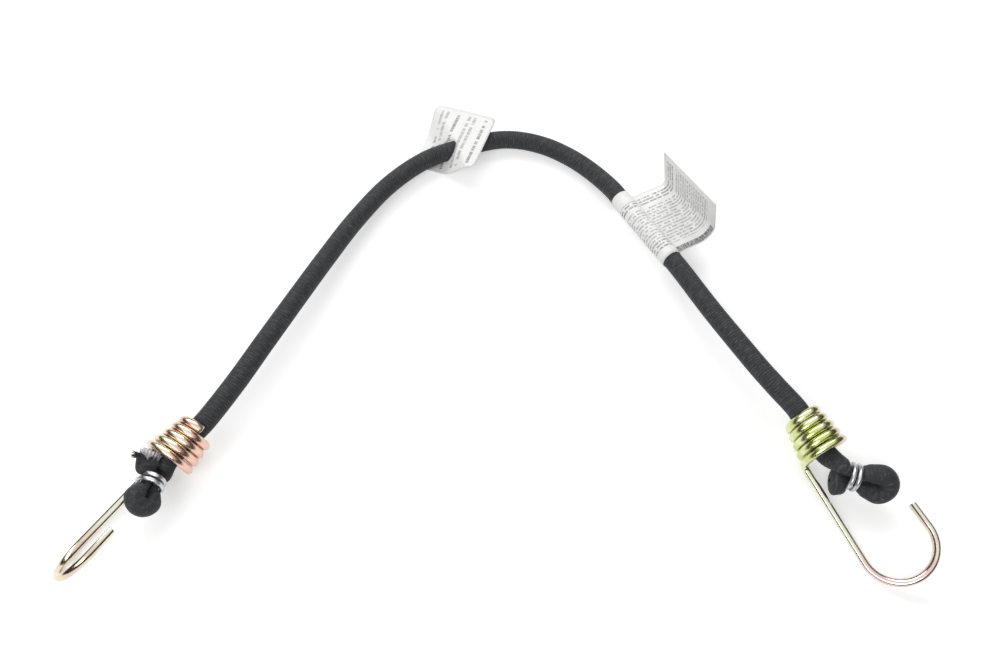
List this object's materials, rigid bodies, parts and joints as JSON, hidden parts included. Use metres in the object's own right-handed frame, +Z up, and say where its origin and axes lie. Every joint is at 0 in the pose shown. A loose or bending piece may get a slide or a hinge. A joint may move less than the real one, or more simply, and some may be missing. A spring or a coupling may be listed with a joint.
{
  "type": "bungee cord",
  "caption": "Elastic cord with a rubber core in a braided sheath, folded back and clamped at both ends, with a bent-wire hook that swivels on a coil at each end.",
  "frame": {"origin": "on the surface the cord lies on, at the middle of the box round the two hooks", "axes": "+X from the left hook to the right hook, +Y from the hooks to the top of the cord's arch, +Z up from the surface"},
  "size_m": [0.3527, 0.2599, 0.0338],
  "materials": {
    "sheath": "tight dark grey braid, matt",
    "core_rubber": "pale natural rubber strands",
    "hook_wire": "bright drawn steel wire, yellow passivated zinc with pink and green tints",
    "ring_wire": "plain silver steel wire",
    "paper": "white coated paper, matt"
  },
  "bodies": {
    "cord": {"braided_sheath": "sheath", "core_strand_1": "core_rubber", "core_strand_2": "core_rubber", "core_strand_3": "core_rubber", "core_strand_4": "core_rubber", "core_strand_5": "core_rubber", "core_strand_6": "core_rubber", "core_strand_7": "core_rubber", "right_clamp_ring": "ring_wire", "size_tag": "paper", "wrap_label": "paper"},
    "left_end": {"left_clamp_ring": "ring_wire"},
    "left_hook": {"left_hook": "hook_wire"},
    "right_hook": {"right_hook": "hook_wire"}
  },
  "joints": [
    {"name": "left_hook_swivel", "type": "hinge", "parent": "left_end", "child": "left_hook", "pos_m": [-0.1382, 0.015, 0.0119], "axis": [-0.5982, -0.7996, -0.0523], "range_deg": [-45, 85]},
    {"name": "cord_stretch", "type": "slide", "parent": "cord", "child": "left_end", "axis": [-0.454, -0.891, 0], "range_m": [0, 0.1], "stiffness_N_per_m": 800, "deforming": ["braided_sheath", "core_strand_1", "core_strand_2", "core_strand_3", "core_strand_4", "core_strand_5", "core_strand_6", "core_strand_7"]},
    {"name": "right_hook_swivel", "type": "hinge", "parent": "cord", "child": "right_hook", "pos_m": [0.1377, 0.0184, 0.0119], "axis": [0.4303, -0.8942, -0.1236], "range_deg": [-125, 105]}
  ]
}
